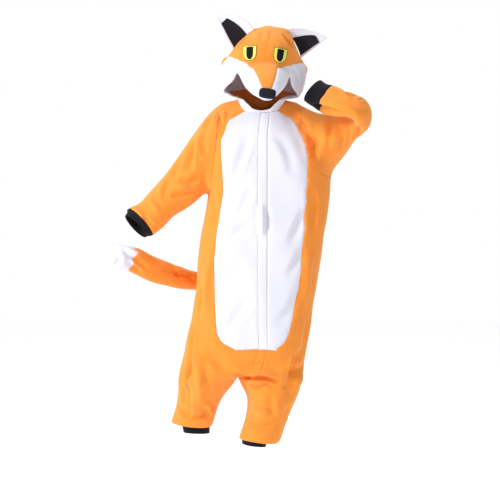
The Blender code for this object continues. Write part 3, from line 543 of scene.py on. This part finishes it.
def relax(mesh, place):
    """Rounds off the sheet round a place by drawing each point towards the mean of its neighbours."""
    points = coordinates(mesh)
    ends = np.empty(len(mesh.edges) * 2, np.int32)
    mesh.edges.foreach_get("vertices", ends)
    first, second = ends.reshape(-1, 2).T
    count = np.bincount(ends, minlength=len(points))[:, None]
    share = np.exp(-(np.linalg.norm(points - np.array(place), axis=1) / RELAX_REACH) ** 2)[:, None]
    for _ in range(RELAX_ROUNDS):
        total = np.zeros_like(points)
        np.add.at(total, first, points[second])
        np.add.at(total, second, points[first])
        points += share * (total / count - points)
    set_coordinates(mesh, points)


def dress(mesh):
    """Folds, puffs, slack and pressed seams on the whole sheet."""
    for place in ARMPITS:
        relax(mesh, place)
    points, normals = coordinates(mesh), vertex_normals(mesh)
    tree = tree_of(mesh)
    height = np.zeros(len(points))
    for fold in FOLDS:
        height += fold_cloth(points, normals, tree, fold)
    for puff in PUFFS:
        away = np.linalg.norm(points - np.array((puff.x, puff.y, puff.z)), axis=1)
        height += puff.height * np.exp(-(away / puff.width) ** 2)
    height += slack(points, 4, SLACK_SPACING, SLACK_HEIGHT)
    sharp, soft = seam_points(mesh, [seam_mark(cut) for cut in CUTS])
    seam = distances_to(points, sharp)
    height -= SEAM_PRESS * np.exp(-(seam / SEAM_WIDTH) ** 2)
    soft_seam = distances_to(points, soft)
    height -= SOFT_SEAM * SEAM_PRESS * np.exp(-(soft_seam / SEAM_WIDTH) ** 2)
    beside_seam = np.exp(-((seam - PUCKER_REACH) / PUCKER_REACH) ** 2)
    height += PUCKER * slack(points, 7, PUCKER_SPACING, 1.0) * beside_seam
    set_coordinates(mesh, points + normals * height[:, None])


def piece_object(mesh, number, name):
    """The faces of one piece as an object of its own."""
    faces = [p for p in mesh.polygons if p.material_index == number]
    order = {}
    for p in faces:
        for v in p.vertices:
            order.setdefault(v, len(order))
    points = [tuple(mesh.vertices[v].co) for v in order]
    new = bpy.data.meshes.new(name + "_cloth")
    new.from_pydata(points, [], [[order[v] for v in p.vertices] for p in faces])
    new.shade_smooth()
    obj = bpy.data.objects.new(name + "_cloth", new)
    bpy.context.scene.collection.objects.link(obj)
    return obj


def thicken(obj, thickness=VISUAL_CLOTH):
    shell = obj.modifiers.new("thickness", "SOLIDIFY")
    shell.thickness = thickness
    shell.offset = -1
    return obj


def own_material(obj, material):
    obj.data.materials.clear()
    obj.data.materials.append(material)


def new_material(name):
    material = bpy.data.materials.new(name)
    material.use_nodes = True
    nodes = material.node_tree.nodes
    return material, nodes, material.node_tree.links, nodes["Principled BSDF"]


def noise(nodes, links, coordinate, scale, detail=2.0, roughness=0.5):
    node = nodes.new("ShaderNodeTexNoise")
    node.inputs["Scale"].default_value = scale
    node.inputs["Detail"].default_value = detail
    node.inputs["Roughness"].default_value = roughness
    links.new(coordinate, node.inputs["Vector"])
    return node.outputs["Fac"]


def mixed_colour(nodes, links, factor, first, second):
    mix = nodes.new("ShaderNodeMix")
    mix.data_type = "RGBA"
    mix.inputs["A"].default_value = (*first, 1)
    mix.inputs["B"].default_value = (*second, 1)
    links.new(factor, mix.inputs["Factor"])
    return mix.outputs["Result"]


def bump(nodes, links, height, strength, distance, under=None):
    node = nodes.new("ShaderNodeBump")
    node.inputs["Strength"].default_value = strength
    node.inputs["Distance"].default_value = distance
    links.new(height, node.inputs["Height"])
    if under:
        links.new(under, node.inputs["Normal"])
    return node.outputs["Normal"]


def fleece(name, colour, light, sheen_tint, nap=1.0, sheen=0.5):
    """Brushed fleece: clumps of nap in the bump, a little uneven colour, and a soft sheen."""
    material, nodes, links, shader = new_material(name)
    where = nodes.new("ShaderNodeTexCoord").outputs["Object"]
    clumps = noise(nodes, links, where, 170, 3.0, 0.6)
    fine = noise(nodes, links, where, 900, 2.0, 0.6)
    patches = noise(nodes, links, where, 14, 2.0, 0.5)
    blend = nodes.new("ShaderNodeMath")
    blend.operation = "MULTIPLY_ADD"
    blend.inputs[1].default_value = 0.5
    links.new(clumps, blend.inputs[0])
    half = nodes.new("ShaderNodeMath")
    half.operation = "MULTIPLY"
    half.inputs[1].default_value = 0.5
    links.new(patches, half.inputs[0])
    links.new(half.outputs[0], blend.inputs[2])
    links.new(mixed_colour(nodes, links, blend.outputs[0], colour, light), shader.inputs["Base Color"])
    shader.inputs["Roughness"].default_value = 0.95
    shader.inputs["Specular IOR Level"].default_value = 0.15
    shader.inputs["Sheen Weight"].default_value = sheen
    shader.inputs["Sheen Roughness"].default_value = 0.6
    shader.inputs["Sheen Tint"].default_value = (*sheen_tint, 1)
    first = bump(nodes, links, clumps, 0.35 * nap, 0.0012)
    links.new(bump(nodes, links, fine, 0.25 * nap, 0.0004, first), shader.inputs["Normal"])
    return material


def rib_knit(name):
    """Black rib: ridges that run along the cuff, from the piece's own angle attribute."""
    material, nodes, links, shader = new_material(name)
    around = nodes.new("ShaderNodeAttribute")
    around.attribute_name = "around"
    wave = nodes.new("ShaderNodeMath")
    wave.operation = "SINE"
    links.new(around.outputs["Fac"], wave.inputs[0])
    where = nodes.new("ShaderNodeTexCoord").outputs["Object"]
    knit = noise(nodes, links, where, 700, 2.0, 0.5)
    shader.inputs["Base Color"].default_value = (*BLACK, 1)
    shader.inputs["Roughness"].default_value = 0.9
    shader.inputs["Specular IOR Level"].default_value = 0.2
    shader.inputs["Sheen Weight"].default_value = 0.05
    first = bump(nodes, links, wave.outputs[0], 0.6, 0.0008)
    links.new(bump(nodes, links, knit, 0.3, 0.0004, first), shader.inputs["Normal"])
    return material


def plain_felt(name, colour):
    material, nodes, links, shader = new_material(name)
    where = nodes.new("ShaderNodeTexCoord").outputs["Object"]
    fibre = noise(nodes, links, where, 1200, 3.0, 0.6)
    darker = tuple(c * 0.88 for c in colour)
    links.new(mixed_colour(nodes, links, fibre, colour, darker), shader.inputs["Base Color"])
    shader.inputs["Roughness"].default_value = 0.9
    shader.inputs["Specular IOR Level"].default_value = 0.2
    links.new(bump(nodes, links, fibre, 0.3, 0.0003), shader.inputs["Normal"])
    return material


def set_around(obj, count):
    """The angle of every point of a cuff round the cuff's own axis, times the number of ribs."""
    points = coordinates(obj.data)
    centre = points.mean(axis=0)
    _, _, ways = np.linalg.svd(points - centre, full_matrices=False)
    axis = open_axis(obj.data)
    first = np.cross(axis, ways[0] if abs(ways[0] @ axis) < 0.9 else ways[1])
    first /= np.linalg.norm(first)
    second = np.cross(axis, first)
    angle = np.arctan2((points - centre) @ second, (points - centre) @ first)
    attribute = obj.data.attributes.new("around", "FLOAT", "POINT")
    attribute.data.foreach_set("value", (angle * count).astype(np.float32))


def open_axis(mesh):
    """The way from one open end of a cuff to the other: the way that its ends' normals point in least."""
    normals = np.array([mesh.vertices[v].normal for v in rim_points(mesh)])
    _, _, ways = np.linalg.svd(normals, full_matrices=False)
    return ways[2]


def make_materials():
    return {
        "orange": fleece("orange_fleece", ORANGE, ORANGE_LIGHT, (1.0, 0.70, 0.35)),
        "white": fleece("white_fleece", WHITE, WHITE_LIGHT, (1.0, 1.0, 1.0), 0.8, 0.35),
        "black": fleece("black_fleece", BLACK, BLACK_LIGHT, (0.4, 0.4, 0.5), 1.0, 0.1),
        "rib": rib_knit("black_rib"),
        "yellow": plain_felt("yellow_felt", YELLOW),
        "felt": plain_felt("black_felt", BLACK),
        "thread": plain_felt("olive_thread", OLIVE),
    }


def declare(obj, material, *nodes):
    own_material(obj, MATERIALS[material])
    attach(obj, "root")
    if nodes:
        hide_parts(*nodes)


def build_cloth():
    """All the cloth of the body, sleeves and hood."""
    names = [cut.piece for cut in CUTS]
    mesh = joined_sheet([outer_side(name) for name in names])
    to_quads(mesh)
    fine = smooth_sheet(mesh, len(names), SMOOTH_LEVELS)
    dress(fine)
    for number, cut in enumerate(CUTS):
        obj = thicken(piece_object(fine, number, cut.piece))
        if cut.piece in RIBBED:
            set_around(obj, RIBS)
        declare(obj, cut.material, cut.piece)
    return fine


def inflate(mesh, height, reach):
    """Lifts a panel between its sewn edges."""
    points, normals = coordinates(mesh), vertex_normals(mesh)
    away = distances_to(points, rim_points(mesh))
    lift = height * (1 - np.exp(-away / reach))
    set_coordinates(mesh, points + normals * lift[:, None])


# Small sheets: how far one is lifted, and its flat width, length and area.
Small = namedtuple("Small", "piece material lift width length area")
EAR_PIECES = [
    Small("ear_front_", "white", .0022, .10, .15, .0085),
    Small("ear_back_", "orange", .0035, .10, .15, .0085),
    Small("ear_inside_", "black", .0022, .07, .11, .0045),
]
EAR_EDGE = 0.012        # how far from its sewn edge an ear panel reaches most of its height
EYE_PIECES = [
    Small("eye_", "yellow", .0012, .050, .055, .0025),
    Small("pupil_", "felt", .0026, .024, .044, .00097),
]
EYE_STITCH = {"eye_": ("thread", .0013), "pupil_": ("felt", .0007)}     # material and radius


def build_ears():
    for side in ("right", "left"):
        for small in EAR_PIECES:
            name = small.piece + side
            mesh = joined_sheet([outer_side(name)])
            to_quads(mesh)
            fine = subdivided(mesh, 1, SMOOTH_LEVELS)
            inflate(fine, small.lift, EAR_EDGE)
            obj = thicken(piece_object(fine, 0, name), FELT if small.material == "black" else EAR_CLOTH)
            declare(obj, small.material, name)


def outline_of(mesh):
    """The open edge of a flat piece as one loop of points."""
    after = {}
    for (a, b), times in edge_uses(mesh).items():
        if times == 1:
            after.setdefault(a, []).append(b)
            after.setdefault(b, []).append(a)
    start = min(after)
    loop, last = [start], None
    while True:
        step = next(v for v in after[loop[-1]] if v != last)
        last = loop[-1]
        if step == start:
            return [mesh.vertices[v].co.copy() for v in loop]
        loop.append(step)


def stitched_edge(name, points, radius, material):
    """A satin-stitched edge along a closed loop."""
    curve = bpy.data.curves.new(name, "CURVE")
    curve.dimensions = "3D"
    curve.bevel_depth = radius
    curve.bevel_resolution = 2
    line = curve.splines.new("POLY")
    line.points.add(len(points) - 1)
    for target, p in zip(line.points, points):
        target.co = (*p, 1)
    line.use_cyclic_u = True
    shape = bpy.data.objects.new(name, curve)
    bpy.context.scene.collection.objects.link(shape)
    mesh = bpy.data.meshes.new_from_object(shape.evaluated_get(bpy.context.evaluated_depsgraph_get()))
    bpy.data.objects.remove(shape)
    mesh.shade_smooth()
    obj = bpy.data.objects.new(name, mesh)
    bpy.context.scene.collection.objects.link(obj)
    declare(obj, material)
    return obj


def split_fine(mesh):
    """Splits a flat piece's edges so that it can bend over the hood."""
    bm = bmesh.new()
    bm.from_mesh(mesh)
    bmesh.ops.subdivide_edges(bm, edges=bm.edges[:], cuts=2, use_grid_fill=True)
    bm.to_mesh(mesh)
    bm.free()


def laid_on_hood(mesh, hood_tree, lift):
    """Moves a flat piece straight back or forward until it lies on the hood."""
    points = coordinates(mesh)
    for i, p in enumerate(points):
        hit = hood_tree.ray_cast(Vector((p[0], -1.0, p[2])), Vector((0, 1, 0)))[0]
        if hit:
            points[i, 1] = hit.y - lift
    set_coordinates(mesh, points)


def build_eyes(hood):
    hood_tree = tree_of(hood)
    for side in ("right", "left"):
        for small in EYE_PIECES:
            name = small.piece + side
            thread, radius = EYE_STITCH[small.piece]
            mesh = joined_sheet([outer_side(name)])
            split_fine(mesh)
            laid_on_hood(mesh, hood_tree, small.lift)
            obj = thicken(piece_object(mesh, 0, name), FELT)
            declare(obj, small.material, name)
            edge = stitched_edge(name + "_edge", outline_of(mesh), radius, thread)


def build_nose():
    bm = node_mesh("nose")
    bmesh.ops.triangulate(bm, faces=bm.faces[:])
    mesh = bpy.data.meshes.new("nose")
    bm.to_mesh(mesh)
    bm.free()
    to_quads(mesh, 40)
    fine = smooth_sheet(mesh, 1, SMOOTH_LEVELS)
    obj = piece_object(fine, 0, "nose")
    declare(obj, "black", "nose")


def build_hood_lining(hood):
    """The lining lies just inside the hood's finished cloth."""
    mesh = joined_sheet([outer_side("hood_lining")])
    to_quads(mesh)
    fine = smooth_sheet(mesh, 1, LINING_LEVELS)
    hood_tree = tree_of(hood)
    points = coordinates(fine)
    for i, p in enumerate(points):
        near, normal, _, _ = hood_tree.find_nearest(Vector(p))
        points[i] = near - normal * (VISUAL_CLOTH + LINING_GAP)
    set_coordinates(fine, points)
    obj = thicken(piece_object(fine, 0, "hood_lining"), LINING_CLOTH)
    declare(obj, "white", "hood_lining")


def tail_side(name, seam_centre):
    """A tail piece without the flat end that lies in the seam."""
    bm = node_mesh(name)
    middle = min(bm.verts, key=lambda v: (v.co - seam_centre).length)
    bmesh.ops.delete(bm, geom=[middle], context="VERTS")
    bm.verts.index_update()
    points = [v.co.copy() for v in bm.verts]
    polygons = [[v.index for v in f.verts] for f in bm.faces]
    bm.free()
    return points, polygons


TAIL_FOLDS = [
    Fold(FRONT, [(-.490, -.530), (-.450, -.560), (-.400, -.590)], .010, -.0055, .4),
    Fold(FRONT, [(-.485, -.520), (-.440, -.540), (-.385, -.560)], .009, .0045, .4),
    Fold(FRONT, [(-.480, -.560), (-.450, -.590), (-.420, -.610)], .009, -.0045, .4),
    Fold(FRONT, [(-.330, -.580), (-.300, -.610), (-.290, -.650)], .012, -.0040, .4),
    Fold(FRONT, [(-.262, -.600), (-.250, -.630), (-.255, -.670)], .010, -.0050, .4),
    Fold(BACK, [(-.480, -.530), (-.440, -.560), (-.400, -.590)], .010, -.0055, .4),
    Fold(BACK, [(-.320, -.590), (-.300, -.620), (-.290, -.650)], .012, -.0045, .4),
    Fold(FRONT, [(-.500, -.530), (-.520, -.545), (-.540, -.570)], .010, -.0030, .4),
    Fold(FRONT, [(-.508, -.520), (-.530, -.530), (-.552, -.540)], .010, -.0028, .4),
    Fold(FRONT, [(-.495, -.545), (-.505, -.565), (-.515, -.590)], .010, -.0028, .4),
    Fold(BACK, [(-.500, -.530), (-.520, -.540), (-.545, -.560)], .010, -.0030, .4),
]
TAIL_SLACK_SPACING = 0.09
TAIL_SLACK_HEIGHT = 0.0010
TAIL_SEAM_WIDTH = 0.004


def build_tail():
    names = ("tail_body", "tail_tip")
    body_low, body_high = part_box("tail_body")
    tip_low, tip_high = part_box("tail_tip")
    between = Vector([(max(a, c) + min(b, d)) / 2 for a, b, c, d in
                      zip(body_low, body_high, tip_low, tip_high)])
    mesh = joined_sheet([tail_side(name, between) for name in names])
    to_quads(mesh)
    fine = smooth_sheet(mesh, len(names), SMOOTH_LEVELS)
    points, normals, tree = coordinates(fine), vertex_normals(fine), tree_of(fine)
    height = slack(points, 11, TAIL_SLACK_SPACING, TAIL_SLACK_HEIGHT)
    for fold in TAIL_FOLDS:
        height += fold_cloth(points, normals, tree, fold)
    seam = distances_to(points, seam_points(fine, names)[0])
    height -= SEAM_PRESS * np.exp(-(seam / TAIL_SEAM_WIDTH) ** 2)
    set_coordinates(fine, points + normals * height[:, None])
    for number, (name, material) in enumerate(zip(names, ("orange", "white"))):
        obj = piece_object(fine, number, name)
        declare(obj, material, name)


def build_stage():
    """A pale floor at the level of the wearer's feet and soft light from the left."""
    bpy.ops.mesh.primitive_plane_add(size=14, location=(0, 3, -1.358))
    floor = bpy.context.object
    floor.name = "floor"
    material, _, _, shader = new_material("floor")
    shader.inputs["Base Color"].default_value = (0.6, 0.6, 0.62, 1)
    shader.inputs["Roughness"].default_value = 0.9
    shader.inputs["Emission Color"].default_value = (1, 1, 1, 1)
    shader.inputs["Emission Strength"].default_value = 0.70
    own_material(floor, material)
    world = bpy.data.worlds.new("studio")
    bpy.context.scene.world = world
    world.use_nodes = True
    nodes, links = world.node_tree.nodes, world.node_tree.links
    background = nodes["Background"]
    background.inputs["Color"].default_value = (1.0, 1.0, 1.0, 1)
    seen = nodes.new("ShaderNodeMapRange")
    seen.inputs["To Min"].default_value = 0.43
    seen.inputs["To Max"].default_value = 1.0
    links.new(nodes.new("ShaderNodeLightPath").outputs["Is Camera Ray"], seen.inputs["Value"])
    links.new(seen.outputs["Result"], background.inputs["Strength"])
    area_light("key", (-3.2, -2.1, 1.3), 1.0, 140)
    area_light("fill", (1.2, -4.0, 0.4), 2.5, 22)
    area_light("top", (0.3, 0.8, 3.0), 2.0, 45)
    bpy.context.scene.view_settings.view_transform = "Standard"


def area_light(name, place, size, watts):
    data = bpy.data.lights.new(name, "AREA")
    data.size = size
    data.energy = watts
    obj = bpy.data.objects.new(name, data)
    obj.location = place
    obj.rotation_euler = (Vector((0, 0, -0.5)) - Vector(place)).to_track_quat("-Z", "Y").to_euler()
    bpy.context.scene.collection.objects.link(obj)


def build_camera():
    data = bpy.data.cameras.new("camera")
    distance, shown = 4.5, 1.825     # how far away it is and how wide a square it shows there
    data.lens = data.sensor_width * distance / shown
    obj = bpy.data.objects.new("camera", data)
    obj.location = (-0.0292, -distance, -0.529)
    obj.rotation_euler = (math.radians(90), 0, 0)
    bpy.context.scene.collection.objects.link(obj)
    bpy.context.scene.camera = obj


MATERIALS = make_materials()
cloth = build_cloth()
build_hood_lining(cloth)
build_ears()
build_eyes(cloth)
build_nose()
build_tail()
build_stage()
build_camera()
